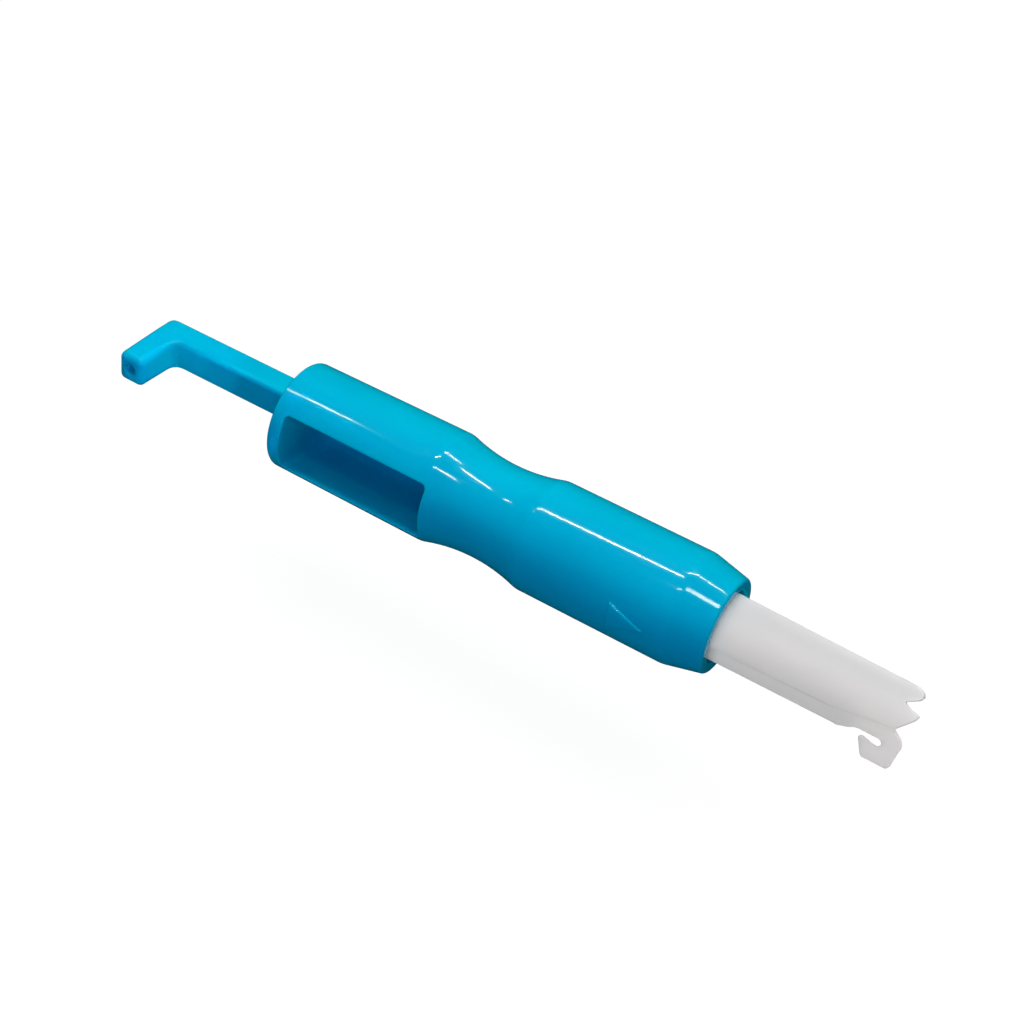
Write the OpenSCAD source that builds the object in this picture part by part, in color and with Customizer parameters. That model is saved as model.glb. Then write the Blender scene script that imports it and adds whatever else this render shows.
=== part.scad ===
// Hand tool for sewing-machine needles: a needle inserter arm at one end and a
// spring-loaded threader at the other. Millimetres. +X runs along the tool
// towards the threader tip, +Z is up, the window and the arm's tip face -Y.
// The tool's axis is Y = 0, Z = 0. Lengths are laid out from the handle's rear
// face, and in_frame() then puts the middle of the front grip at the origin.

/* [Part] */
// Sub-part to build, or all of them

/* [Handle] */
// Length of the handle from its rear face to the nose lip
handle_len = 53.0; // [52.6:0.1:54]
// Handle radius at the rear face
rear_r = 6.15; // [6:0.01:6.5]
// Handle radius just behind the waist
waist_rear_r = 6.28; // [6:0.01:6.5]
// Handle radius just ahead of the waist and up to the nose
front_r = 6.22; // [6:0.01:6.5]
// Where the waist starts
waist_x0 = 19.5; // [19:0.1:19.8]
// Where the waist ends
waist_x1 = 31.4; // [30:0.1:32]
// Depth of the waist below the grip surface
waist_depth = 0.9; // [0.3:0.05:1]
// Where the nose starts to taper
taper_x = 48.7; // [47.5:0.1:49.5]
// Radius at the end of the nose taper
nose_r = 5.36; // [5.2:0.02:5.6]
// Edge radius of the nose
nose_edge_r = 0.55; // [0.3:0.05:0.7]

/* [Window pocket] */
// Rear end of the pocket in the grip
pocket_x0 = 1.55; // [1.2:0.05:2.5]
// Front end of the pocket
pocket_x1 = 19.65; // [16:0.05:19.7]
// Width of the pocket
pocket_w = 6.9; // [5:0.1:7.4]
// Distance of the round floor's centre behind the axis
pocket_floor_y = 1.0; // [0:0.1:1.2]
// Corner radius of the pocket's mouth
pocket_corner_r = 0.6; // [0.3:0.05:1.2]

/* [Inserter arm] */
// Length from the handle's rear face to the outside of the elbow
arm_len = 20.56; // [17:0.02:22]
// Height of the arm
arm_h = 3.5; // [3:0.1:4]
// Front face of the long leg, towards the window side
arm_front_y = -0.15; // [-0.5:0.01:0.3]
// Back face of the long leg
arm_back_y = 3.03; // [2.8:0.01:3.3]
// Width of the short leg along the tool
tip_w = 3.12; // [2.6:0.02:3.4]
// Reach of the short leg's end from the tool's axis
tip_reach = 5.95; // [5:0.05:6.3]
// Outer corner radius of the elbow
elbow_r = 0.9; // [0.5:0.05:1.4]
// Radius of the hole that takes the needle's blade
needle_hole_r = 0.65; // [0.5:0.05:0.8]
// Depth of the needle hole
needle_hole_depth = 5.0; // [3:0.1:6]

/* [Threader sleeve] */
// Radius of the exposed sleeve at the nose
sleeve_r = 3.56; // [3.4:0.01:3.6]
// Radius of the exposed sleeve at the tip
sleeve_tip_r = 3.12; // [3:0.01:3.2]
// Furthest point of the fork's beak
tip_x = 74.1; // [73.5:0.1:75]
// Depth of the fork's main notch
notch_depth = 1.8; // [1.5:0.05:2]
// Turn of the fork about the axis, from the window side upwards
fork_turn = 42; // [36:1:48]
// Wall of the scooped tip
scoop_wall = 0.75; // [0.6:0.05:0.9]
// Front face of the flat rib and hook
hook_face_y = -2.9; // [-2.95:0.01:-2.8]
// Thickness of the hook
hook_t = 0.45; // [0.4:0.05:0.6]
// Distance of the hook's lower edge below the axis
hook_drop = 4.76; // [4.5:0.02:5]

/* [Mechanism] */
// Travel of the sleeve into the handle
travel = 4.0; // [3:0.1:4.2]
// Radius of the bore that guides the sleeve
bore_r = 4.02; // [3.98:0.01:4.05]
// Running clearance of the sleeve's guide in the bore
guide_gap = 0.06; // [0.03:0.01:0.1]
// Radius of the relief that the sleeve's catch runs in
relief_r = 4.6; // [4.55:0.05:4.8]
// Radius of the catch ring
catch_r = 4.45; // [4.3:0.05:4.45]
// Radius of the threading pin
pin_r = 0.2; // [0.15:0.01:0.25]
// Radius of the spring's coil, to the wire's centre
coil_r = 1.95; // [1.9:0.01:2]
// Radius of the spring's wire
wire_r = 0.22; // [0.18:0.01:0.24]
// Turns of the spring
coil_turns = 12; // [8:1:14]

/* [Hidden] */
handle_blue = [0.02, 0.70, 0.84];
sleeve_white = [0.88, 0.88, 0.87];
steel = [0.72, 0.73, 0.74];
holder_white = [0.80, 0.82, 0.82];
fine = 96;
eps = 0.01;
// Waist: one arc through both creases
waist_mid = (waist_x0 + waist_x1) / 2;
waist_half = (waist_x1 - waist_x0) / 2;
waist_arc_r = (waist_half * waist_half + waist_depth * waist_depth) / (2 * waist_depth);
waist_edge_r = (waist_rear_r + front_r) / 2;
// Centre of the round on the nose's edge
edge_mid_r = nose_r - nose_edge_r;
edge_mid_x = handle_len - nose_edge_r;
// The origin of the frame: the middle of the front grip
origin_x = (waist_x1 + taper_x) / 2;
// Places along the axis inside the handle
holder_seat_x = 20.5;
holder_r = 3.3;
holder_front_x = 26;
spigot_r = 1.5;
spigot_len = 2.4;
relief_x1 = 39.6;
catch_x1 = relief_x1 - 0.1;
catch_len = 1.4;
// Both ends of the travel keep a gap behind the sleeve's tail and its catch
tail_gap = 0.6;
catch_gap = 0.9;
tail_x = holder_front_x + travel + tail_gap;
relief_x0 = catch_x1 - catch_len - travel - catch_gap;
guide_x1 = 48.5;
spring_end_x = 47;
spring_room_r = 2.45;
pin_hole_r = pin_r + 0.06;
pin_back_x = 22;
pin_inset = 0.35;
split_w = 0.9;
split_x1 = 42.5;
key_w = 0.72;
key_h = 0.55;
key_root = 0.3;
key_x1 = relief_x0 - 0.2;
// Length of the arm's root inside the grip, short of the pocket
arm_root = pocket_x0 - 0.2;
// Raised triangle mark near the nose
mark_x0 = 42.6;
mark_x1 = 46.65;
mark_half = 1.5;
mark_h = 0.2;
// The sleeve's rib: depth below the axis, thickness and front end
rib_drop = 2.4;
rib_t = 1.2;
rib_x1 = tip_x - 6.8;
rib_ledge_z = -0.28;
// Scoop behind the fork
scoop_x = tip_x - 5.5;
scoop_r = sleeve_tip_r - scoop_wall;
notch_x = tip_x - notch_depth;
// The exposed rod starts inside the guide and tapers evenly to the tip
rod_x0 = spring_end_x;
rod_taper = (sleeve_r - sleeve_tip_r) / (tip_x - handle_len);
rod_root_r = sleeve_r + rod_taper * (handle_len - rod_x0);

// Puts a part laid out from the handle's rear face into the frame
module in_frame() {
  translate([-origin_x, 0, 0])
    children();
}

// Lays a shape turned about Z along the tool, its bottom at X = 0
module along_x() {
  rotate([0, 90, 0])
    children();
}

// Solid of revolution of the grip: rear cylinder, waist, front cylinder, nose
module grip_outside() {
  along_x()
    rotate_extrude($fn = fine)
      union() {
        difference() {
          polygon([
            [0, 0],
            [rear_r, 0],
            [waist_rear_r, waist_x0],
            [front_r, waist_x1],
            [front_r, taper_x],
            [nose_r, edge_mid_x],
            [edge_mid_r, handle_len],
            [0, handle_len]
          ]);
          translate([waist_edge_r - waist_depth + waist_arc_r, waist_mid])
            circle(r = waist_arc_r, $fn = 360);
        }
        translate([edge_mid_r, edge_mid_x])
          circle(r = nose_edge_r, $fn = 48);
      }
}

// Stepped bore of the grip, open at the nose
module grip_bores() {
  along_x()
    rotate_extrude($fn = fine)
      polygon([
        [0, holder_seat_x],
        [holder_r, holder_seat_x],
        [holder_r, holder_front_x],
        [bore_r, holder_front_x],
        [bore_r, relief_x0],
        [relief_r, relief_x0],
        [relief_r, relief_x1],
        [bore_r, relief_x1],
        [bore_r, handle_len + 1],
        [0, handle_len + 1]
      ]);
}

// Rounded rectangle with its corner at the origin
module round_rect(w, h, r) {
  translate([r, 0])
    square([w - 2 * r, h]);
  translate([0, r])
    square([w, h - 2 * r]);
  for (x = [r, w - r])
    for (y = [r, h - r])
      translate([x, y])
        circle(r = r, $fn = 32);
}

// Pocket in the grip: straight sides, half-round floor, rounded mouth corners
module pocket() {
  intersection() {
    translate([pocket_x0, 0, 0])
      along_x()
        linear_extrude(pocket_x1 - pocket_x0) {
          translate([0, pocket_floor_y])
            circle(d = pocket_w, $fn = fine);
          translate([-pocket_w / 2, -rear_r * 2])
            square([pocket_w, rear_r * 2 + pocket_floor_y]);
        }
    translate([pocket_x0, rear_r * 2, -pocket_w / 2])
      rotate([90, 0, 0])
        linear_extrude(rear_r * 4)
          round_rect(pocket_x1 - pocket_x0, pocket_w, pocket_corner_r);
  }
}

// L-shaped arm with its rounded elbow, drilled for the needle
module inserter_arm() {
  difference() {
    translate([0, 0, -arm_h / 2])
      linear_extrude(arm_h) {
        translate([-arm_len + elbow_r, arm_front_y])
          square([arm_len - elbow_r + arm_root, arm_back_y - arm_front_y]);
        translate([-arm_len, -tip_reach])
          square([tip_w, arm_back_y + tip_reach - elbow_r]);
        translate([-arm_len + elbow_r, arm_back_y - elbow_r])
          circle(r = elbow_r, $fn = 48);
      }
    translate([-arm_len + tip_w / 2, -tip_reach - eps, 0])
      rotate([-90, 0, 0])
        cylinder(r = needle_hole_r, h = needle_hole_depth + eps, $fn = 48);
  }
}

// Raised triangle that points at the threader tip
module direction_mark() {
  intersection() {
    rotate([90, 0, 0])
      linear_extrude(front_r + 1)
        polygon([[mark_x0, -mark_half], [mark_x1, 0], [mark_x0, mark_half]]);
    translate([mark_x0 - 1, 0, 0])
      along_x()
        difference() {
          cylinder(r = front_r + mark_h, h = mark_x1 - mark_x0 + 2, $fn = fine);
          cylinder(r = front_r - 0.3, h = mark_x1 - mark_x0 + 2, $fn = fine);
        }
  }
}

// Ribs inside the bore that run in the sleeve's split and stop it turning
module key_ribs() {
  for (side = [0, 1])
    mirror([0, side, 0])
      translate([holder_front_x - key_root, bore_r - key_h, -key_w / 2])
        cube([key_x1 - holder_front_x + key_root, key_h + key_root, key_w]);
}

module handle() {
  in_frame() color(handle_blue) {
    difference() {
      grip_outside();
      grip_bores();
      pocket();
    }
    inserter_arm();
    direction_mark();
    key_ribs();
  }
}

// Outline of the fork: length along X, height across the turned view
module fork_outline() {
  polygon([
    [rod_x0, -2 * sleeve_r],
    [rod_x0, 2 * sleeve_r],
    [tip_x - 1.9, 2 * sleeve_r],
    [tip_x - 1.6, sleeve_tip_r + 0.02],
    [tip_x - 0.95, 2.85],
    [tip_x - 0.65, 2.4],
    [tip_x - 0.65, 2.0],
    [tip_x - 1.1, 1.68],
    [notch_x, 1.22],
    [tip_x - 1.6, 0.97],
    [tip_x - 1.0, 0.82],
    [tip_x - 0.15, 0.65],
    [tip_x, 0.45],
    [tip_x - 0.2, 0],
    [tip_x - 0.6, -0.45],
    [tip_x - 1.15, -1.02],
    [tip_x - 1.6, -1.5],
    [tip_x - 1.75, -1.8],
    [tip_x - 5.3, -2.35],
    [tip_x - 6.2, -2.9],
    [tip_x - 6.9, -2 * sleeve_r]
  ]);
}

// Turns a shape that faces -Y up by the fork's turn
module turned() {
  rotate([-fork_turn, 0, 0])
    children();
}

// Exposed rod of the sleeve, scooped out behind and forked at its end
module sleeve_rod() {
  difference() {
    intersection() {
      translate([rod_x0, 0, 0])
        along_x()
          cylinder(r1 = rod_root_r, r2 = sleeve_tip_r, h = tip_x - rod_x0, $fn = fine);
      turned()
        rotate([90, 0, 0])
          linear_extrude(6 * sleeve_r, center = true)
            fork_outline();
    }
    translate([scoop_x, 0, 0])
      along_x()
        cylinder(r = scoop_r, h = tip_x - scoop_x + 1, $fn = fine);
    turned()
      linear_extrude(4 * sleeve_r, center = true)
        polygon([
          [scoop_x - 3, 2 * sleeve_r],
          [scoop_x, 0.5],
          [tip_x + 1, 0.3],
          [tip_x + 1, 2 * sleeve_r]
        ]);
  }
}

// Room in front of the rib and the hook, below the rod's ledge line
module rib_recess() {
  translate([0, hook_face_y, 0])
    rotate([90, 0, 0])
      linear_extrude(2 * sleeve_r)
        polygon([
          [guide_x1, -2 * sleeve_r],
          [guide_x1, rib_ledge_z],
          [tip_x - 8.2, rib_ledge_z],
          [tip_x - 6.4, 0],
          [tip_x - 4.1, 0.4],
          [tip_x - 1.7, 0.6],
          [tip_x + 1, 0.8],
          [tip_x + 1, -2 * sleeve_r]
        ]);
}

// Outline of the thread hook and its root, as X and Z
module hook_outline() {
  polygon([
    [tip_x - 7.2, -0.35],
    [tip_x - 5.3, -0.1],
    [tip_x - 1.95, 0.75],
    [tip_x - 1.72, 0.28],
    [tip_x - 1.19, -0.19],
    [tip_x - 0.66, -0.78],
    [tip_x - 0.45, -1.39],
    [tip_x - 0.54, -1.98],
    [tip_x - 0.93, -hook_drop + 0.5],
    [tip_x - 1.2, -hook_drop],
    [tip_x - 3.82, -hook_drop],
    [tip_x - 4.05, -hook_drop + 0.3],
    [tip_x - 4.72, -2.51],
    [tip_x - 4.47, -2.13],
    [tip_x - 3.97, -2.23],
    [tip_x - 2.75, -2.6],
    [tip_x - 2.75, -1.64],
    [tip_x - 5.16, -1.59],
    [tip_x - 5.76, -1.95],
    [tip_x - 6.26, -2.13],
    [tip_x - 7.2, -rib_drop]
  ]);
}

// Flat rib along the underside that ends in the thread hook
module rib_and_hook() {
  translate([0, hook_face_y + hook_t, 0])
    rotate([90, 0, 0])
      linear_extrude(hook_t)
        difference() {
          hook_outline();
          translate([tip_x - 2.8, -2.13])
            circle(r = 0.44, $fn = 32);
        }
  intersection() {
    translate([guide_x1 - 1, 0, 0])
      along_x()
        cylinder(r = bore_r - 0.1, h = rib_x1 - guide_x1 + 1, $fn = fine);
    translate([guide_x1 - 1, hook_face_y, -rib_drop])
      cube([rib_x1 - guide_x1 + 1, rib_t, rib_drop]);
  }
}

// Hollow tail that runs in the bore, split so that its catch can spring in
module sleeve_tail() {
  difference() {
    along_x() {
      translate([0, 0, tail_x])
        cylinder(r = bore_r - guide_gap, h = guide_x1 - tail_x, $fn = fine);
      translate([0, 0, catch_x1 - catch_len])
        cylinder(r = catch_r, h = catch_len, $fn = fine);
    }
    along_x()
      translate([0, 0, tail_x - 1])
        cylinder(r = spring_room_r, h = spring_end_x - tail_x + 1, $fn = fine);
    translate([tail_x - 1, -2 * bore_r, -split_w / 2])
      cube([split_x1 - tail_x + 1, 4 * bore_r, split_w]);
  }
}

module threader_sleeve() {
  in_frame() color(sleeve_white)
    difference() {
      union() {
        difference() {
          sleeve_rod();
          rib_recess();
        }
        rib_and_hook();
        sleeve_tail();
      }
      translate([spring_end_x - 1, 0, 0])
        along_x()
          cylinder(r = pin_hole_r, h = tip_x - spring_end_x + 2, $fn = 32);
    }
}

module threading_pin() {
  in_frame() color(steel)
    translate([pin_back_x, 0, 0])
      along_x()
        cylinder(r = pin_r, h = notch_x - pin_inset - pin_back_x, $fn = 32);
}

module pin_holder() {
  in_frame() color(holder_white)
    difference() {
      along_x() {
        translate([0, 0, holder_seat_x])
          cylinder(r = holder_r, h = holder_front_x - holder_seat_x, $fn = fine);
        translate([0, 0, holder_front_x])
          cylinder(r = spigot_r, h = spigot_len, $fn = fine);
      }
      translate([pin_back_x, 0, 0])
        along_x()
          cylinder(r = pin_r, h = holder_front_x + spigot_len + 1 - pin_back_x, $fn = 32);
    }
}

// Points of one ring of the spring's wire at turn fraction t
function coil_ring(t, x0, pitch, sides) =
  [for (k = [0 : sides - 1])
    let (a = 360 * coil_turns * t)
    let (b = 360 * k / sides)
    [
      x0 + pitch * coil_turns * t + wire_r * sin(b),
      (coil_r + wire_r * cos(b)) * cos(a),
      (coil_r + wire_r * cos(b)) * sin(a)
    ]];

// Open coil spring between the pin holder and the sleeve's shoulder
module return_spring() {
  sides = 8;
  steps = coil_turns * 20;
  x0 = holder_front_x + wire_r + 0.02;
  x1 = spring_end_x - wire_r - 0.02;
  pitch = (x1 - x0) / coil_turns;
  points = [for (i = [0 : steps]) each coil_ring(i / steps, x0, pitch, sides)];
  walls = [for (i = [0 : steps - 1])
    for (k = [0 : sides - 1])
      let (k2 = (k + 1) % sides)
      [i * sides + k, i * sides + k2, (i + 1) * sides + k2, (i + 1) * sides + k]];
  start = [[for (k = [sides - 1 : -1 : 0]) k]];
  finish = [[for (k = [0 : sides - 1]) steps * sides + k]];
  in_frame() color(steel)
    polyhedron(points = points, faces = concat(walls, start, finish));
}

handle();
threader_sleeve();
threading_pin();
pin_holder();
return_spring();
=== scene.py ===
"""Needle inserter and threader for a sewing machine: the looks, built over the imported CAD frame.
Metres. +X runs along the tool to the threader tip, +Z is up, the window and the arm's tip face -Y.
The handle and the sleeve are written as distance fields in millimetres, with X counted from the
handle's rear face. Copies of their CAD meshes are voxel remeshed, and the copies' points are moved on
to the fields, fillets included. The pin, the plug and the spring are built point by point."""

import math

import bmesh
import bpy
import numpy as np
from mathutils import Matrix, Vector


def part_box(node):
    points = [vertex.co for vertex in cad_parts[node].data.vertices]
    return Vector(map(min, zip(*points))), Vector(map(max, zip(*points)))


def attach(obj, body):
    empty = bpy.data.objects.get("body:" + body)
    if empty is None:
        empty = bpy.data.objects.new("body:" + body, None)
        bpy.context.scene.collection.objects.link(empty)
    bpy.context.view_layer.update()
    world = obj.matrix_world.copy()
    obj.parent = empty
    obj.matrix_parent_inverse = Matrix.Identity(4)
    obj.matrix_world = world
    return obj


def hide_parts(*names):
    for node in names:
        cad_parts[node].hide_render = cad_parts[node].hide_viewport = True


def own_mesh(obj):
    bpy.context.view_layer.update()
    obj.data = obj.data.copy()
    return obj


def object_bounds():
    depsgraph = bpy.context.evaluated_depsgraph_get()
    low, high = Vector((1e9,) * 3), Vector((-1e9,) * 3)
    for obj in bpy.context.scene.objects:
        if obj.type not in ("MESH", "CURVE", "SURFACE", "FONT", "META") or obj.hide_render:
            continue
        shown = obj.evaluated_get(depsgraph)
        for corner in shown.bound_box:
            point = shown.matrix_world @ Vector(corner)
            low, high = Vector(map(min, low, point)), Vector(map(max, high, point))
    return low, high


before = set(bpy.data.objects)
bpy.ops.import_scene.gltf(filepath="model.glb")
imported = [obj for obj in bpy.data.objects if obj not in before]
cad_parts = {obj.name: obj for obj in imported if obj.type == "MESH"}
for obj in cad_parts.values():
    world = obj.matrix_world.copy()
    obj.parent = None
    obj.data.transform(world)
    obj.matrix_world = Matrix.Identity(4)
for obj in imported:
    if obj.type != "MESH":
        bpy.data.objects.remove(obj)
cad_low, cad_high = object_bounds()

MM = 0.001
handle_low, handle_high = (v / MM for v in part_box("handle"))
sleeve_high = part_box("threader_sleeve")[1] / MM
pin_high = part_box("threading_pin")[1] / MM

# ---------------------------------------------------------------- sizes in millimetres, after the CAD
ARM_LEN, ARM_FRONT, ARM_BACK, ARM_HALF, ARM_ROOT = 20.56, -0.15, 3.03, 1.75, 1.3
TIP_W, TIP_REACH, HOLE_R, HOLE_DEPTH = 3.12, 5.95, 0.65, 5.0
REAR_X = handle_low.x + ARM_LEN
HANDLE_LEN = handle_high.x - REAR_X
REAR_R, WAIST_REAR_R, FRONT_R = 6.15, 6.28, 6.22
WAIST_X0, WAIST_X1, WAIST_DEPTH = 19.5, 31.4, 0.9
TAPER_X, NOSE_R, NOSE_LIP = 48.7, 5.36, 0.55
BORE_R, RELIEF_R, RELIEF_X0, RELIEF_X1 = 4.02, 4.6, 33.2, 39.6
KEY_X0, KEY_X1, KEY_TOP, KEY_ROOT = 25.8, 33.0, 3.47, 4.4
POCKET_X0, POCKET_X1, POCKET_HALF, POCKET_FLOOR_Y = 1.55, 19.65, 3.45, 1.0
POCKET_CORNER_MOUTH, POCKET_CORNER_FLOOR = 0.6, 2.6
MARK_X0, MARK_X1, MARK_HALF, MARK_TOP = 42.6, 46.65, 1.5, 0.2
TIP_X = sleeve_high.x - REAR_X
SLEEVE_R, SLEEVE_TIP_R = 3.56, 3.12
FORK_TURN = math.radians(42)
HOOK_Y, HOOK_T, HOOK_DROP = -2.9, 0.45, 4.76
RIB_DROP, RIB_T, RIB_X1, RIB_R = 2.4, 1.2, TIP_X - 6.8, BORE_R - 0.1
# Where the cut above the rib ends, along the tip
LEDGE_X = (TIP_X - 8.2, TIP_X - 6.4, TIP_X - 4.1, TIP_X - 1.7, TIP_X + 1)
LEDGE_Z = (-0.28, 0.0, 0.4, 0.6, 0.8)
SCOOP_X, SCOOP_R = TIP_X - 5.5, SLEEVE_TIP_R - 0.75
GUIDE_R, TAIL_X, GUIDE_X1, ROOM_R, ROOM_X1 = 3.96, 30.6, 48.5, 2.45, 47.0
CATCH_R, CATCH_X0, CATCH_X1, SPLIT_X1, PIN_HOLE_R = 4.45, 38.1, 39.5, 42.5, 0.26
PIN_R, PIN_BACK, POINT_LEN, POINT_R = 0.2, 22.0, 1.6, 0.1
HOLDER_X0, HOLDER_X1, HOLDER_R, SPIGOT_R, SPIGOT_LEN = 20.5, 26.0, 3.3, 1.5, 2.4
COIL_R, WIRE_R, COIL_TURNS, TRAVEL = 1.95, 0.22, 12, 4.0

# ---------------------------------------------------------------- sizes of the looks alone, millimetres
# The arm stands a little fuller than its box, which its soft edges take back
ARM_FULL, ARM_SOFT_TIP, ARM_SOFT_ROOT = 0.12, 0.85, 0.55
# Ribs narrower and a split wider than the CAD's, and a gap at each seat, keep the meshes' facets apart
KEY_HALF, SPLIT_HALF, SEAT_GAP, PIN_GAP = 0.34, 0.55, 0.02, 0.01
# The hook's flat front and how fast its sides draw in behind it
HOOK_FLAT, HOOK_NARROWS = 0.05, 0.75
# Radii of edges and fillets
REAR_EDGE, NOSE_EDGE, POCKET_EDGE, MARK_EDGE, MARK_FOOT, ARM_FOOT = 0.28, 0.3, 0.2, 0.12, 0.05, 0.22
HOLE_EDGE, BORE_EDGE, KEY_FOOT, WAIST_SOFT, TAPER_SOFT = 0.3, 0.1, 0.05, 0.12, 0.1
FORK_EDGE, SCOOP_BACK, SCOOP_EDGE, SLOPE_EDGE, RIB_EDGE, RIB_FOOT = 0.14, 0.4, 0.08, 0.12, 0.08, 0.05
HOOK_EDGE, HOOK_FOOT, TAIL_EDGE, CATCH_EDGE, SPLIT_EDGE, PIN_HOLE_EDGE = 0.1, 0.12, 0.25, 0.2, 0.15, 0.05
# Size of the remeshed faces, and boxes in which they are split again
HANDLE_VOXEL, SLEEVE_VOXEL = 0.16, 0.1
HANDLE_FINE = (
    ((MARK_X0 - 0.5, -7.0, -2.1), (MARK_X1 + 0.5, -4.5, 2.1)),
    ((MARK_X0 - 0.3, -7.0, -1.9), (MARK_X1 + 0.3, -4.5, 1.9)),
    ((-20.2, -6.3, -1.2), (-17.8, -4.8, 1.2)),
)
SLEEVE_FINE = (((TIP_X - 2.6, -4.0, -0.5), (TIP_X + 0.5, 4.0, 4.0)),)
# How points are moved: most steps, longest step in voxels, gap left alone, reach of the gradient's probe
MAX_STEPS, LONGEST_STEP, SETTLED, PROBE = 7, 0.5, 0.002, 0.005

# ---------------------------------------------------------------- colours, camera and studio
# The third blue is the paler tone of sharp edges: partly rubbed wear, partly a painted edge highlight
BLUE_DEEP, BLUE_BRIGHT, BLUE_WEAR_AND_SHEEN = (0.0, 0.43, 0.59), (0.0, 0.47, 0.63), (0.02, 0.55, 0.7)
MILK_COOL, MILK_WARM = (0.73, 0.735, 0.745), (0.77, 0.76, 0.76)
# Angles in degrees, lens and place in millimetres, the place's X counted from the handle's rear face
CAM_AZIMUTH, CAM_ELEVATION, CAM_ROLL, CAM_LENS = 26.186, 38.516, 9.419, 66.63
CAM_PLACE = (95.436, -138.429, 123.760)
# The floor: half its width and its depth below the tool in metres, glow, glow's share, what light meets
FLOOR_HALF, FLOOR_DROP, FLOOR_SEEN, FLOOR_SHARE, UNDER_GREY = 4, 0.012, 1.12, 0.85, (0.25, 0.25, 0.25)
WORLD_STRENGTH, WORLD_SHINE = 0.46, 0.03
WHITE, NEUTRAL, COOL = (1, 1, 1), (1.0, 0.985, 0.99), (0.1, 0.5, 1.0)
# Lamps and tubes: places, sizes and aims in millimetres, X counted from the handle's rear face
# Soft lamps: name, place, size, X they aim at, beam in degrees, radiance, colour, only piece they light
SOFT_LAMPS = (
    ("key", (40, 90, 320), (420, 300), 35, 180, 2.65, WHITE, None),
    ("fill_handle", (75, -255, 110), (300, 200), 35, 180, 2.0, COOL, "handle_moulding"),
    ("fill_rear", (190, -120, 70), (8, 8), -20, 5, 1.5, (0.0, 0.85, 1.0), "handle_moulding"),
    ("fill_sleeve", (90, -260, 60), (300, 200), 35, 180, 2.9, NEUTRAL, "sleeve_moulding"),
    ("side_sleeve", (330, -40, 10), (200, 200), 35, 180, 2.2, NEUTRAL, "sleeve_moulding"),
    ("back_sleeve", (110, 200, -30), (200, 200), 35, 180, 7.0, NEUTRAL, "sleeve_moulding"),
)
# Tubes that light only the handle and draw its highlights: name, place, size, turn in degrees, radiance
TUBES = (
    ("tube_rear", (-73.5, -37.5, 150), (17, 3.5), 0, 46),
    ("tube_middle", (-12.5, -10.5, 150), (52, 3.5), 21.3, 60),
    ("tube_high", (45, 35, 150), (65, 3.5), 19.5, 46),
    ("tube_low", (27, -72, 150), (31, 4.0), 15, 46),
    ("tube_wide", (80, -48, 150), (12, 20), 0, 15),
)


# ---------------------------------------------------------------- distance fields on numpy arrays
def length2(a, b):
    return np.sqrt(a * a + b * b)


def both(a, b, r=0.0):
    """Intersection of two fields, its edge rounded to radius r."""
    if np.ndim(r) == 0 and r == 0:
        return np.maximum(a, b)
    return np.minimum(-r, np.maximum(a, b)) + length2(np.maximum(r + a, 0), np.maximum(r + b, 0))


def either(a, b, r=0.0):
    """Union of two fields, its corner filled to radius r."""
    return -both(-a, -b, r)


def minus(a, b, r=0.0):
    """The first field without the second, the new edge rounded to radius r."""
    return both(a, -b, r)


def slab(v, low, high):
    """Distance to the layer between two levels, negative inside it."""
    return np.maximum(low - v, v - high)


def polygon(u, v, points):
    """Signed distance to a closed 2-D outline."""
    best = np.full(u.shape, 1e9)
    inside = np.zeros(u.shape, bool)
    for i in range(len(points)):
        (ax, ay), (bx, by) = points[i], points[i - 1]
        ex, ey = bx - ax, by - ay
        wx, wy = u - ax, v - ay
        t = np.clip((wx * ex + wy * ey) / (ex * ex + ey * ey), 0, 1)
        best = np.minimum(best, length2(wx - ex * t, wy - ey * t))
        crosses = (ay > v) != (by > v)
        with np.errstate(divide="ignore", invalid="ignore"):
            side = u < ax + (v - ay) * ex / ey
        inside ^= crosses & side
    return np.where(inside, -best, best)


def grip_radius(x):
    """The grip's radius along its length: two plain stretches, the waist's arc and the nose's taper."""
    middle, half = (WAIST_X0 + WAIST_X1) / 2, (WAIST_X1 - WAIST_X0) / 2
    arc_r = (half * half + WAIST_DEPTH * WAIST_DEPTH) / (2 * WAIST_DEPTH)
    line = np.interp(x, [0, WAIST_X0, WAIST_X1], [REAR_R, WAIST_REAR_R, FRONT_R])
    reach = np.minimum(np.abs(x - middle), arc_r * 0.99)
    waist = (WAIST_REAR_R + FRONT_R) / 2 - WAIST_DEPTH + arc_r - np.sqrt(arc_r * arc_r - reach * reach)
    taper = FRONT_R - (x - TAPER_X) * (FRONT_R - NOSE_R) / (HANDLE_LEN - NOSE_LIP - TAPER_X)
    return soft_min(soft_min(line, waist, WAIST_SOFT), taper, TAPER_SOFT)


def soft_min(a, b, k):
    """The lower of two values, blended where they differ by less than k."""
    h = np.maximum(k - np.abs(a - b), 0) / k
    return np.minimum(a, b) - h * h * k / 4


def rounded(corners, steps=5):
    """An outline from (u, v, r) corners, each turned into a curve that reaches r along both sides."""
    out = []
    count = len(corners)
    for i, (u, v, r) in enumerate(corners):
        here = Vector((u, v))
        if r == 0:
            out.append((u, v))
            continue
        before = Vector(corners[i - 1][:2]) - here
        after = Vector(corners[(i + 1) % count][:2]) - here
        p = here + before.normalized() * min(r, before.length * 0.48)
        q = here + after.normalized() * min(r, after.length * 0.48)
        for k in range(steps + 1):
            t = k / steps
            out.append(tuple((1 - t) ** 2 * p + 2 * t * (1 - t) * here + t * t * q))
    return out


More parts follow.
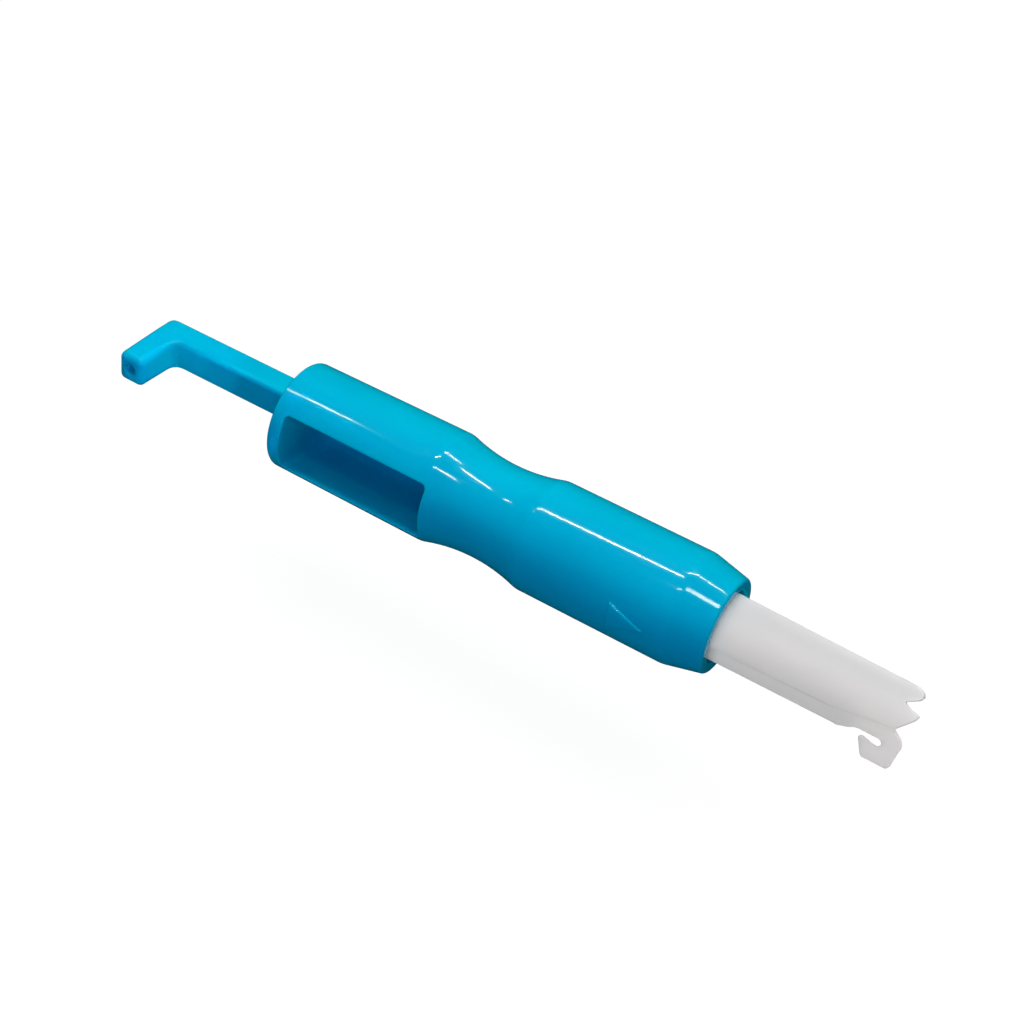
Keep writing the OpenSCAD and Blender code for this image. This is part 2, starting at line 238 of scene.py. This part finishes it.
def arm_plan():
    """The arm's outline seen from above."""
    rear, inner = -ARM_LEN, -ARM_LEN + TIP_W + ARM_FULL
    front, back, end = ARM_FRONT - ARM_FULL, ARM_BACK + ARM_FULL, -TIP_REACH - ARM_FULL
    return rounded([
        (ARM_ROOT, back, 0), (rear, back, 1.0), (rear, end, 0.8),
        (inner, end, 0.8), (inner, front, 1.1), (ARM_ROOT, front, 0),
    ])


def arm_field(x, y, z):
    """The L-shaped arm with its needle hole, its edges softest at the short leg's end."""
    soft = np.interp(y, [-5.0, 0.5], [ARM_SOFT_TIP, ARM_SOFT_ROOT])
    bar = both(polygon(x, y, ARM_PLAN), np.abs(z) - ARM_HALF - ARM_FULL, soft)
    hole = both(length2(x + ARM_LEN - TIP_W / 2, z) - HOLE_R, y + TIP_REACH - HOLE_DEPTH)
    return minus(bar, hole, HOLE_EDGE)


def pocket_field(x, y, z):
    """The open pocket: straight sides, a half-round floor, corners that widen with depth."""
    side = np.where(y > POCKET_FLOOR_Y, length2(y - POCKET_FLOOR_Y, z), np.abs(z)) - POCKET_HALF
    corner = np.interp(y, [-5.0, 2.0], [POCKET_CORNER_MOUTH, POCKET_CORNER_FLOOR])
    return both(side, slab(x, POCKET_X0, POCKET_X1), corner)


def mark_field(x, y, z, r):
    """The raised triangle on the window's side, near the nose."""
    outline = polygon(x, z, [(MARK_X0, -MARK_HALF), (MARK_X1, 0.0), (MARK_X0, MARK_HALF)])
    return both(both(outline, r - FRONT_R - MARK_TOP, MARK_EDGE), y + BORE_R)


def bore_field(x, r):
    """The stepped bore: guide for the sleeve, relief for its catch, seat for the plug."""
    guide = both(r - BORE_R, HOLDER_X1 - x)
    relief = both(r - RELIEF_R, slab(x, RELIEF_X0, RELIEF_X1))
    return np.minimum(np.minimum(guide, relief), both(r - HOLDER_R, HOLDER_X0 - x))


def handle_field(x, y, z):
    r = length2(y, z)
    grip = both(r - grip_radius(x), -x, REAR_EDGE)
    grip = both(grip, x - HANDLE_LEN, NOSE_EDGE)
    grip = minus(grip, pocket_field(x, y, z), POCKET_EDGE)
    grip = either(grip, mark_field(x, y, z, r), MARK_FOOT)
    grip = either(grip, arm_field(x, y, z), ARM_FOOT)
    grip = minus(grip, bore_field(x, r), BORE_EDGE)
    keys = both(both(slab(x, KEY_X0, KEY_X1), np.abs(z) - KEY_HALF), KEY_TOP - np.abs(y))
    return either(grip, both(keys, r - KEY_ROOT), KEY_FOOT)


def from_tip(corners):
    """Corners counted back from the tip, turned into a rounded outline."""
    return rounded([(TIP_X + a, b, r) for a, b, r in corners], 4)


FORK = from_tip([
    (20.0 - TIP_X, -7.0, 0), (20.0 - TIP_X, 7.0, 0), (-1.9, 7.0, 0), (-1.62, 3.16, 0.3),
    (-0.9, 2.86, 0.35), (-0.56, 2.3, 0.3), (-0.7, 1.94, 0.25), (-1.1, 1.68, 0.2), (-1.84, 1.2, 0.05),
    (-1.0, 0.82, 0.2), (0.02, 0.62, 0.22), (-0.2, 0.0, 0.25), (-0.6, -0.45, 0.25),
    (-1.15, -1.02, 0.25), (-1.6, -1.5, 0.2), (-1.75, -1.8, 0.1), (-5.3, -2.35, 0.4),
    (-6.2, -2.9, 0.3), (-6.9, -7.0, 0),
])
HOOK = from_tip([
    (-7.2, -0.35, 0), (-5.3, -0.1, 0), (-1.95, 0.75, 0.1), (-1.72, 0.28, 0.15), (-1.19, -0.19, 0.3),
    (-0.66, -0.78, 0.4), (-0.42, -1.5, 0.4), (-0.54, -1.98, 0.2), (-0.9, -HOOK_DROP + 0.4, 0.2),
    (-1.2, -HOOK_DROP, 0.18), (-3.82, -HOOK_DROP, 0.16), (-4.05, -HOOK_DROP + 0.3, 0.14),
    (-4.74, -2.52, 0.12), (-4.5, -2.1, 0.14), (-3.97, -2.23, 0.1), (-2.8, -2.62, 0.2),
    (-2.3, -2.2, 0.4), (-2.6, -1.62, 0.3), (-5.16, -1.59, 0.3), (-5.76, -1.95, 0.25),
    (-6.26, -2.2, 0.3), (-7.2, -2.4, 0),
])
ARM_PLAN = arm_plan()


def rod_field(x, y, z, r):
    """The tapered rod: forked, scooped and sloped at the tip, cut back above the flat rib."""
    across = y * math.sin(FORK_TURN) + z * math.cos(FORK_TURN)
    behind = y * math.cos(FORK_TURN) - z * math.sin(FORK_TURN)
    rod_r = SLEEVE_TIP_R + (SLEEVE_R - SLEEVE_TIP_R) * (TIP_X - x) / (TIP_X - HANDLE_LEN)
    rod = both(r - rod_r, ROOM_X1 - x)
    rod = both(rod, polygon(x, across, FORK), FORK_EDGE)
    rod = minus(rod, both(r - SCOOP_R, SCOOP_X - x, SCOOP_BACK), SCOOP_EDGE)
    slope = polygon(x, behind, [(SCOOP_X - 3, 7), (SCOOP_X, 0.5), (TIP_X + 9, 0.3), (TIP_X + 9, 7)])
    rod = minus(rod, slope, SLOPE_EDGE)
    recess = both(y - HOOK_Y, z - np.interp(x, LEDGE_X, LEDGE_Z))
    return minus(rod, np.maximum(recess, GUIDE_X1 - x), BORE_EDGE)


def rib_field(x, y, z, r):
    """The flat rib along the rod's underside."""
    rib = both(both(r - RIB_R, slab(x, GUIDE_X1 - 1, RIB_X1)), slab(y, HOOK_Y, HOOK_Y + RIB_T), RIB_EDGE)
    return both(rib, slab(z, -RIB_DROP, 0), RIB_EDGE)


def hook_field(x, y, z):
    """The thread hook, which narrows towards its back below the rod."""
    inset = np.maximum(y - HOOK_Y - HOOK_FLAT, 0) * HOOK_NARROWS
    inset = inset * np.clip((TIP_X - 0.9 - x) / 1.5, 0, 1) * np.clip((x - TIP_X + 6) / 0.5, 0, 1)
    face = polygon(x, z, HOOK) + inset * (z < -0.9)
    return both(face, slab(y, HOOK_Y, HOOK_Y + HOOK_T), HOOK_EDGE)


def tail_field(x, z, r):
    """The hollow split tail with its catch ring, inside the handle."""
    tail = both(r - GUIDE_R, slab(x, TAIL_X, GUIDE_X1), TAIL_EDGE)
    tail = np.minimum(tail, both(r - CATCH_R, slab(x, CATCH_X0, CATCH_X1), CATCH_EDGE))
    tail = minus(tail, both(r - ROOM_R, x - ROOM_X1), BORE_EDGE)
    return minus(tail, both(np.abs(z) - SPLIT_HALF, x - SPLIT_X1), SPLIT_EDGE)


def sleeve_field(x, y, z):
    r = length2(y, z)
    rod = either(rod_field(x, y, z, r), rib_field(x, y, z, r), RIB_FOOT)
    rod = either(rod, hook_field(x, y, z), HOOK_FOOT)
    return minus(np.minimum(rod, tail_field(x, z, r)), r - PIN_HOLE_R, PIN_HOLE_EDGE)


# ---------------------------------------------------------------- meshes from the fields
def gradient(field, p):
    """The field's gradient from four points around each one."""
    total = np.zeros_like(p)
    for corner in ((1, -1, -1), (-1, -1, 1), (-1, 1, -1), (1, 1, 1)):
        d = np.array(corner, float)
        q = p + d * PROBE
        total += field(q[:, 0], q[:, 1], q[:, 2])[:, None] * d
    return total / (4 * PROBE)


def refine(data, boxes):
    """Splits every face whose middle lies in one of the boxes (millimetres, X from the rear face)."""
    mesh = bmesh.new()
    mesh.from_mesh(data)
    for low, high in boxes:
        edges = set()
        for face in mesh.faces:
            x, y, z = face.calc_center_median() / MM
            point = (x - REAR_X, y, z)
            if all(a <= v <= b for a, v, b in zip(low, point, high)):
                edges.update(face.edges)
        bmesh.ops.subdivide_edges(mesh, edges=list(edges), cuts=1, use_grid_fill=True)
    mesh.to_mesh(data)
    mesh.free()


def formed(name, node, field, voxel, boxes):
    """A remeshed copy of a CAD node, its points moved on to the field and its normals taken from it."""
    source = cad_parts[node]
    piece = bpy.data.objects.new(name, source.data.copy())
    bpy.context.scene.collection.objects.link(piece)
    piece.data.materials.clear()
    m = piece.modifiers.new("remesh", "REMESH")
    m.mode = "VOXEL"
    m.voxel_size = voxel * MM
    s = piece.modifiers.new("smooth", "SMOOTH")
    s.factor = 0.5
    s.iterations = 2
    graph = bpy.context.evaluated_depsgraph_get()
    graph.update()
    mesh = bpy.data.meshes.new_from_object(piece.evaluated_get(graph))
    piece.modifiers.clear()
    piece.data = mesh
    refine(mesh, boxes)
    p = np.empty(len(mesh.vertices) * 3)
    mesh.vertices.foreach_get("co", p)
    p = p.reshape(-1, 3) / MM
    p[:, 0] -= REAR_X
    moving = np.arange(len(p))
    for _ in range(MAX_STEPS):
        here = p[moving]
        slope = gradient(field, here)
        gap = field(here[:, 0], here[:, 1], here[:, 2])
        move = -slope * (gap / np.maximum((slope * slope).sum(1), 0.25))[:, None]
        reach = np.sqrt((move * move).sum(1))
        p[moving] += move * np.minimum(1, LONGEST_STEP * voxel / np.maximum(reach, 1e-9))[:, None]
        moving = moving[np.abs(gap) > SETTLED]
    normals = gradient(field, p)
    normals /= np.maximum(np.sqrt((normals * normals).sum(1)), 1e-9)[:, None]
    p[:, 0] += REAR_X
    mesh.vertices.foreach_set("co", (p * MM).ravel())
    for poly in mesh.polygons:
        poly.use_smooth = True
    mesh.normals_split_custom_set_from_vertices(normals)
    mesh.update()
    return piece


# ---------------------------------------------------------------- the pin, its holder and the spring
def lathe(name, profile, segments, bored=False):
    """A surface of revolution about the tool's axis, from (x, r) pairs counted from the rear face.
    Its ends are capped, or joined to each other by the wall of a bore."""
    mesh = bmesh.new()
    rings = []
    for x, r in profile:
        ring = []
        for k in range(segments):
            a = 2 * math.pi * k / segments
            ring.append(mesh.verts.new(((x + REAR_X) * MM, r * math.cos(a) * MM, r * math.sin(a) * MM)))
        rings.append(ring)
    if bored:
        rings.append(rings[0])
    for low, high in zip(rings, rings[1:]):
        for k in range(segments):
            j = (k + 1) % segments
            mesh.faces.new((low[k], high[k], high[j], low[j]))
    if not bored:
        mesh.faces.new(rings[0])
        mesh.faces.new(reversed(rings[-1]))
    bmesh.ops.recalc_face_normals(mesh, faces=mesh.faces)
    return smooth_object(name, mesh)


def smooth_object(name, mesh):
    data = bpy.data.meshes.new(name)
    mesh.to_mesh(data)
    mesh.free()
    for poly in data.polygons:
        poly.use_smooth = True
    piece = bpy.data.objects.new(name, data)
    bpy.context.scene.collection.objects.link(piece)
    return piece


def rounded_profile(corners, r, steps=6):
    """The corners of a lathe profile, each inner one turned into a curve that reaches r along both sides."""
    out = [corners[0]]
    for before, here, after in zip(corners, corners[1:], corners[2:]):
        a, h, b = Vector(before), Vector(here), Vector(after)
        to_a, to_b = (a - h).normalized(), (b - h).normalized()
        reach = min(r, (a - h).length * 0.49, (b - h).length * 0.49)
        p, q = h + to_a * reach, h + to_b * reach
        for k in range(steps + 1):
            t = k / steps
            out.append(tuple((1 - t) ** 2 * p + 2 * t * (1 - t) * h + t * t * q))
    out.append(corners[-1])
    return out


def build_pin():
    end, r = pin_high.x - REAR_X, PIN_R
    corners = [(PIN_BACK, 0.02), (PIN_BACK, r), (end - POINT_LEN, r), (end - 0.05, POINT_R), (end, 0.02)]
    return lathe("threading_wire", rounded_profile(corners, 0.08), 24)


def build_holder():
    """The plug, a hair free of its seat so that the two surfaces don't lie in one another."""
    rear, r, bore_r = HOLDER_X0 + SEAT_GAP, HOLDER_R - SEAT_GAP, PIN_R + PIN_GAP
    corners = [
        (rear, bore_r), (rear, r), (HOLDER_X1, r),
        (HOLDER_X1, SPIGOT_R), (HOLDER_X1 + SPIGOT_LEN, SPIGOT_R), (HOLDER_X1 + SPIGOT_LEN, bore_r),
    ]
    return lathe("holder_plug", rounded_profile(corners, 0.25), 72, bored=True)


def build_spring():
    """A compression spring: an even coil of round wire between the holder's face and the sleeve's seat."""
    x0, x1 = HOLDER_X1 + WIRE_R + SEAT_GAP, ROOM_X1 - WIRE_R - SEAT_GAP
    steps, sides = COIL_TURNS * 40, 16
    mesh = bmesh.new()
    rings = []
    for i in range(steps + 1):
        t = i / steps
        a = 2 * math.pi * COIL_TURNS * t
        ring = []
        for k in range(sides):
            b = 2 * math.pi * k / sides
            r = COIL_R + WIRE_R * math.cos(b)
            x = x0 + (x1 - x0) * t + WIRE_R * math.sin(b)
            ring.append(mesh.verts.new(((x + REAR_X) * MM, r * math.cos(a) * MM, r * math.sin(a) * MM)))
        rings.append(ring)
    for low, high in zip(rings, rings[1:]):
        for k in range(sides):
            j = (k + 1) % sides
            mesh.faces.new((low[k], high[k], high[j], low[j]))
    mesh.faces.new(rings[0])
    mesh.faces.new(reversed(rings[-1]))
    bmesh.ops.recalc_face_normals(mesh, faces=mesh.faces)
    return smooth_object("coil_spring", mesh)


handle = formed("handle_moulding", "handle", handle_field, HANDLE_VOXEL, HANDLE_FINE)
sleeve = formed("sleeve_moulding", "threader_sleeve", sleeve_field, SLEEVE_VOXEL, SLEEVE_FINE)
pin, holder, spring = build_pin(), build_holder(), build_spring()
RIDES = (
    (handle, "grip", "handle"),
    (sleeve, "sleeve", "threader_sleeve"),
    (pin, "grip", "threading_pin"),
    (holder, "grip", "pin_holder"),
    (spring, "grip", "return_spring"),
)


# ---------------------------------------------------------------- materials
class Nodes:
    """Short forms for a material's node tree."""

    def __init__(self, name):
        self.mat = bpy.data.materials.new(name)
        self.mat.use_nodes = True
        self.tree = self.mat.node_tree
        self.shader = self.tree.nodes["Principled BSDF"]
        self.where = self.add("ShaderNodeTexCoord").outputs["Object"]

    def add(self, kind, **values):
        node = self.tree.nodes.new(kind)
        for key, value in values.items():
            setattr(node, key, value)
        return node

    def link(self, source, target):
        self.tree.links.new(source, target)

    def stretched(self, scale):
        node = self.add("ShaderNodeMapping")
        node.inputs["Scale"].default_value = scale
        self.link(self.where, node.inputs["Vector"])
        return node.outputs["Vector"]

    def noise(self, scale, detail=3.0, stretch=(1, 1, 1)):
        node = self.add("ShaderNodeTexNoise")
        node.inputs["Scale"].default_value = scale
        node.inputs["Detail"].default_value = detail
        self.link(self.stretched(stretch), node.inputs["Vector"])
        return node.outputs["Fac"]

    def ramp(self, source, low, high, out_low, out_high):
        node = self.add("ShaderNodeMapRange")
        for key, value in zip(("From Min", "From Max", "To Min", "To Max"), (low, high, out_low, out_high)):
            node.inputs[key].default_value = value
        self.link(source, node.inputs["Value"])
        return node.outputs["Result"]

    def mix(self, fac, a, b):
        node = self.add("ShaderNodeMix", data_type="RGBA")
        self.link(fac, node.inputs["Factor"])
        for value, slot in ((a, node.inputs[6]), (b, node.inputs[7])):
            if isinstance(value, tuple):
                slot.default_value = (*value, 1)
            else:
                self.link(value, slot)
        return node.outputs[2]

    def math(self, operation, a, b):
        node = self.add("ShaderNodeMath", operation=operation)
        for value, slot in ((a, node.inputs[0]), (b, node.inputs[1])):
            if isinstance(value, (int, float)):
                slot.default_value = value
            else:
                self.link(value, slot)
        return node.outputs[0]

    def edges(self, sharp):
        """1 where the surface turns sharply outwards, from the mesh's pointiness."""
        return self.ramp(self.add("ShaderNodeNewGeometry").outputs["Pointiness"], sharp[0], sharp[1], 0, 1)

    def painted_rim_shade(self, start, depth):
        """Painted shade: 1 over most of a piece, falling by depth where the surface turns away from the eye,
        so the colour darkens towards the outline.
        """
        facing = self.add("ShaderNodeLayerWeight").outputs["Facing"]
        return self.ramp(facing, start, 1.0, 1.0, 1.0 - depth)

    def shade(self, color, factor):
        node = self.add("ShaderNodeVectorMath", operation="SCALE")
        self.link(color, node.inputs[0])
        self.link(factor, node.inputs["Scale"])
        return node.outputs[0]

    def bump(self, height, strength, distance, below=None):
        node = self.add("ShaderNodeBump")
        node.inputs["Strength"].default_value = strength
        node.inputs["Distance"].default_value = distance
        self.link(height, node.inputs["Height"])
        if below:
            self.link(below, node.inputs["Normal"])
        return node.outputs["Normal"]

    def set(self, **values):
        for key, value in values.items():
            slot = self.shader.inputs[key.replace("_", " ")]
            if hasattr(value, "is_output"):
                self.link(value, slot)
            else:
                slot.default_value = value


def blue_plastic():
    """Glossy moulded plastic: slow flow streaks, hairline scratches, sharp edges a little paler (partly
    rubbed wear, partly a painted edge highlight), painted shade towards the outline.
    """
    n = Nodes("blue_plastic")
    streaks = n.noise(260, 4, (0.25, 1, 1))
    base = n.mix(n.ramp(streaks, 0.35, 0.65, 0, 1), BLUE_DEEP, BLUE_BRIGHT)
    # Sharp edges are painted paler in broken patches: partly rubbed wear, partly a painted edge highlight
    wear_and_edge_sheen = n.math("MULTIPLY", n.edges((0.53, 0.6)), n.ramp(n.noise(1400), 0.4, 0.7, 0, 0.35))
    # Painted shade: the colour darkens where the surface turns away from the eye
    base = n.shade(n.mix(wear_and_edge_sheen, base, BLUE_WEAR_AND_SHEEN), n.painted_rim_shade(0.9, 0.7))
    hairs = n.ramp(n.noise(3200, 2, (0.06, 1, 1)), 0.62, 0.7, 0, 1)
    rough = n.math("ADD", n.ramp(n.noise(700), 0.3, 0.7, 0.06, 0.1), n.math("MULTIPLY", hairs, 0.08))
    rough = n.math("ADD", rough, n.math("MULTIPLY", wear_and_edge_sheen, 0.3))
    peel = n.bump(n.noise(420, 1), 0.05, 0.00012)
    n.set(Base_Color=base, Roughness=rough, Normal=n.bump(hairs, 0.03, 0.00001, peel), IOR=1.5)
    n.set(Subsurface_Weight=0.5, Subsurface_Radius=(0.0002, 0.0015, 0.0022), Subsurface_Scale=1.0)
    return n.mat


def milky_plastic():
    """Semi-matt translucent plastic: light carried inside it, faint flow marks, fine spark grain, painted
    shade towards the outline.
    """
    n = Nodes("milky_plastic")
    flow = n.noise(300, 3, (0.3, 1, 1))
    # Painted shade: the colour darkens where the surface turns away from the eye
    base = n.shade(n.mix(n.ramp(flow, 0.3, 0.7, 0, 1), MILK_COOL, MILK_WARM), n.painted_rim_shade(0.86, 0.35))
    grain = n.noise(6000, 2)
    rough = n.ramp(n.noise(900), 0.3, 0.7, 0.34, 0.46)
    n.set(Base_Color=base, Roughness=rough, Normal=n.bump(grain, 0.12, 0.00002), IOR=1.49)
    n.set(Subsurface_Weight=0.7, Subsurface_Radius=(0.0016, 0.0015, 0.0014), Subsurface_Scale=1.0)
    return n.mat


def drawn_wire(name, color, rough):
    """Steel wire: die lines along it and a slightly uneven shine."""
    n = Nodes(name)
    lines = n.noise(5200, 2, (0.04, 1, 1))
    tone = n.ramp(n.noise(900), 0.3, 0.7, 0, 1)
    n.set(Base_Color=n.mix(tone, tuple(0.85 * c for c in color), color), Metallic=1.0)
    n.set(Roughness=n.ramp(lines, 0.3, 0.7, rough - 0.06, rough + 0.08), Normal=n.bump(lines, 0.2, 0.00001))
    return n.mat


LOOKS = (
    (handle, blue_plastic()),
    (sleeve, milky_plastic()),
    (pin, drawn_wire("pin_steel", (0.68, 0.69, 0.70), 0.24)),
    (holder, milky_plastic()),
    (spring, drawn_wire("spring_steel", (0.60, 0.61, 0.63), 0.3)),
)
for piece, look in LOOKS:
    piece.data.materials.clear()
    piece.data.materials.append(look)
for piece, body, node in RIDES:
    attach(piece, body)
    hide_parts(node)
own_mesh(spring)


# ---------------------------------------------------------------- stage, lights, camera
scene = bpy.context.scene
scene.view_settings.view_transform = "Standard"


def camera_axes():
    """The camera's right, up and back directions, from its azimuth, elevation and roll."""
    azimuth, elevation, roll = (math.radians(v) for v in (CAM_AZIMUTH, CAM_ELEVATION, CAM_ROLL))
    back = Vector((
        math.sin(azimuth) * math.cos(elevation),
        -math.cos(azimuth) * math.cos(elevation),
        math.sin(elevation),
    ))
    right = Vector((math.cos(azimuth), math.sin(azimuth), 0))
    up = back.cross(right)
    right_rolled = right * math.cos(roll) + up * math.sin(roll)
    return right_rolled, back.cross(right_rolled), back


right, up, back = camera_axes()


def add_camera():
    data = bpy.data.cameras.new("camera")
    data.lens = CAM_LENS
    data.sensor_width = 36
    data.clip_start = 0.005
    camera = bpy.data.objects.new("camera", data)
    scene.collection.objects.link(camera)
    place = Vector((REAR_X + CAM_PLACE[0], CAM_PLACE[1], CAM_PLACE[2])) * MM
    camera.matrix_world = Matrix.Translation(place) @ Matrix((right, up, back)).transposed().to_4x4()
    scene.camera = camera


def add_floor():
    """A near-white floor just under the tool; it looks bright to the camera and throws little light back."""
    mesh = bmesh.new()
    bmesh.ops.create_grid(mesh, x_segments=8, y_segments=8, size=FLOOR_HALF)
    bmesh.ops.translate(mesh, verts=mesh.verts, vec=(0, 0, cad_low.z - FLOOR_DROP))
    floor = smooth_object("floor", mesh)
    n = Nodes("pale_floor")
    n.set(Base_Color=(0.9, 0.9, 0.9, 1), Roughness=0.9, Specular_IOR_Level=0.0)
    glow, under = n.add("ShaderNodeEmission"), n.add("ShaderNodeEmission")
    glow.inputs["Strength"].default_value = FLOOR_SEEN
    under.inputs["Color"].default_value = (*UNDER_GREY, 1)
    lit, seen = n.add("ShaderNodeMixShader"), n.add("ShaderNodeMixShader")
    lit.inputs[0].default_value = FLOOR_SHARE
    n.link(n.shader.outputs[0], lit.inputs[1])
    n.link(glow.outputs[0], lit.inputs[2])
    n.link(n.add("ShaderNodeLightPath").outputs["Is Camera Ray"], seen.inputs[0])
    n.link(under.outputs[0], seen.inputs[1])
    n.link(lit.outputs[0], seen.inputs[2])
    n.link(seen.outputs[0], n.tree.nodes["Material Output"].inputs["Surface"])
    floor.data.materials.append(n.mat)
    floor.visible_glossy = False


def add_world():
    """A nearly black studio, darker still in reflections, so that the lamps alone make the light."""
    world = bpy.data.worlds.new("studio")
    scene.world = world
    world.use_nodes = True
    tree = world.node_tree
    background = tree.nodes["Background"]
    path = tree.nodes.new("ShaderNodeLightPath")
    pick = tree.nodes.new("ShaderNodeMapRange")
    pick.inputs["To Min"].default_value = WORLD_STRENGTH
    pick.inputs["To Max"].default_value = WORLD_SHINE
    tree.links.new(path.outputs["Is Glossy Ray"], pick.inputs["Value"])
    tree.links.new(pick.outputs["Result"], background.inputs["Strength"])


def add_lamp(name, place, size, radiance, color, only):
    """An area lamp that faces down. Its place is in millimetres, with X from the handle's rear face."""
    data = bpy.data.lights.new(name, "AREA")
    data.shape = "RECTANGLE"
    data.size, data.size_y = size[0] * MM, size[1] * MM
    data.energy = radiance * math.pi * data.size * data.size_y
    data.color = color
    lamp = bpy.data.objects.new(name, data)
    scene.collection.objects.link(lamp)
    lamp.location = Vector((place[0] + REAR_X, place[1], place[2])) * MM
    if only:
        group = bpy.data.collections.new("lit_by_" + name)
        group.objects.link(bpy.data.objects[only])
        lamp.light_linking.receiver_collection = group
    return lamp


def add_soft_lamps():
    for name, place, size, aim_x, beam, radiance, color, only in SOFT_LAMPS:
        lamp = add_lamp(name, place, size, radiance, color, only)
        lamp.data.spread = math.radians(beam)
        lamp.visible_glossy = False
        aim = Vector((aim_x + REAR_X, 0, 0)) * MM - lamp.location
        lamp.rotation_euler = aim.to_track_quat("-Z", "Y").to_euler()


def add_tubes():
    for name, place, size, turn, radiance in TUBES:
        lamp = add_lamp(name, place, size, radiance, WHITE, "handle_moulding")
        lamp.rotation_euler = (0, 0, math.radians(turn))


add_camera()
add_floor()
add_world()
add_soft_lamps()
add_tubes()
